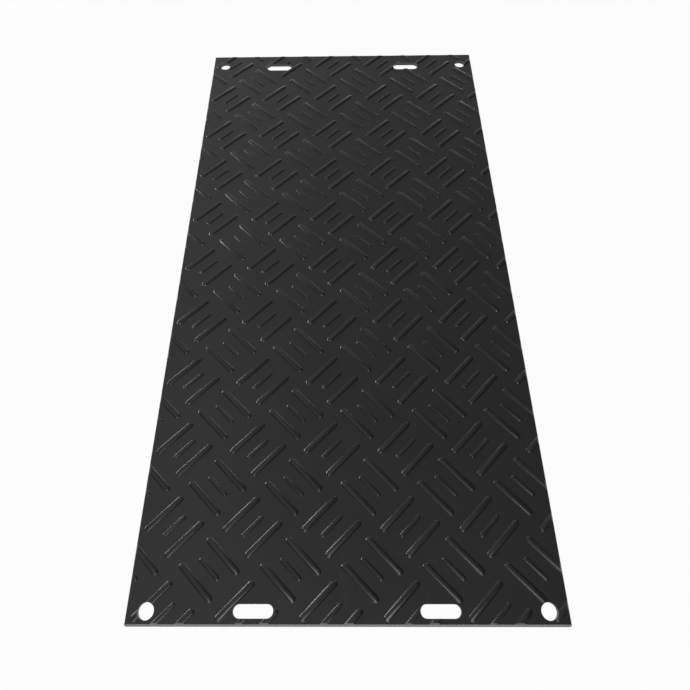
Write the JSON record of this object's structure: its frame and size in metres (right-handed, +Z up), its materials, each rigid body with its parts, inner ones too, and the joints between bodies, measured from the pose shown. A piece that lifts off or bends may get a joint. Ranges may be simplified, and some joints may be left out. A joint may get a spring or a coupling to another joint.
{
  "type": "ground protection mat",
  "caption": "Flat rectangular ground mat of black plastic with a raised non-slip tread of bars, round pin holes at its corners and hand slots along its short ends",
  "frame": {"origin": "middle of the flat underside", "axes": "+X across the mat, +Y along it, +Z up through the tread"},
  "size_m": [1.22, 2.44, 0.0162],
  "materials": {
    "mat_plastic": "satin moulded black polyethylene"
  },
  "bodies": {
    "root": {"ground_mat": "mat_plastic"}
  },
  "joints": []
}
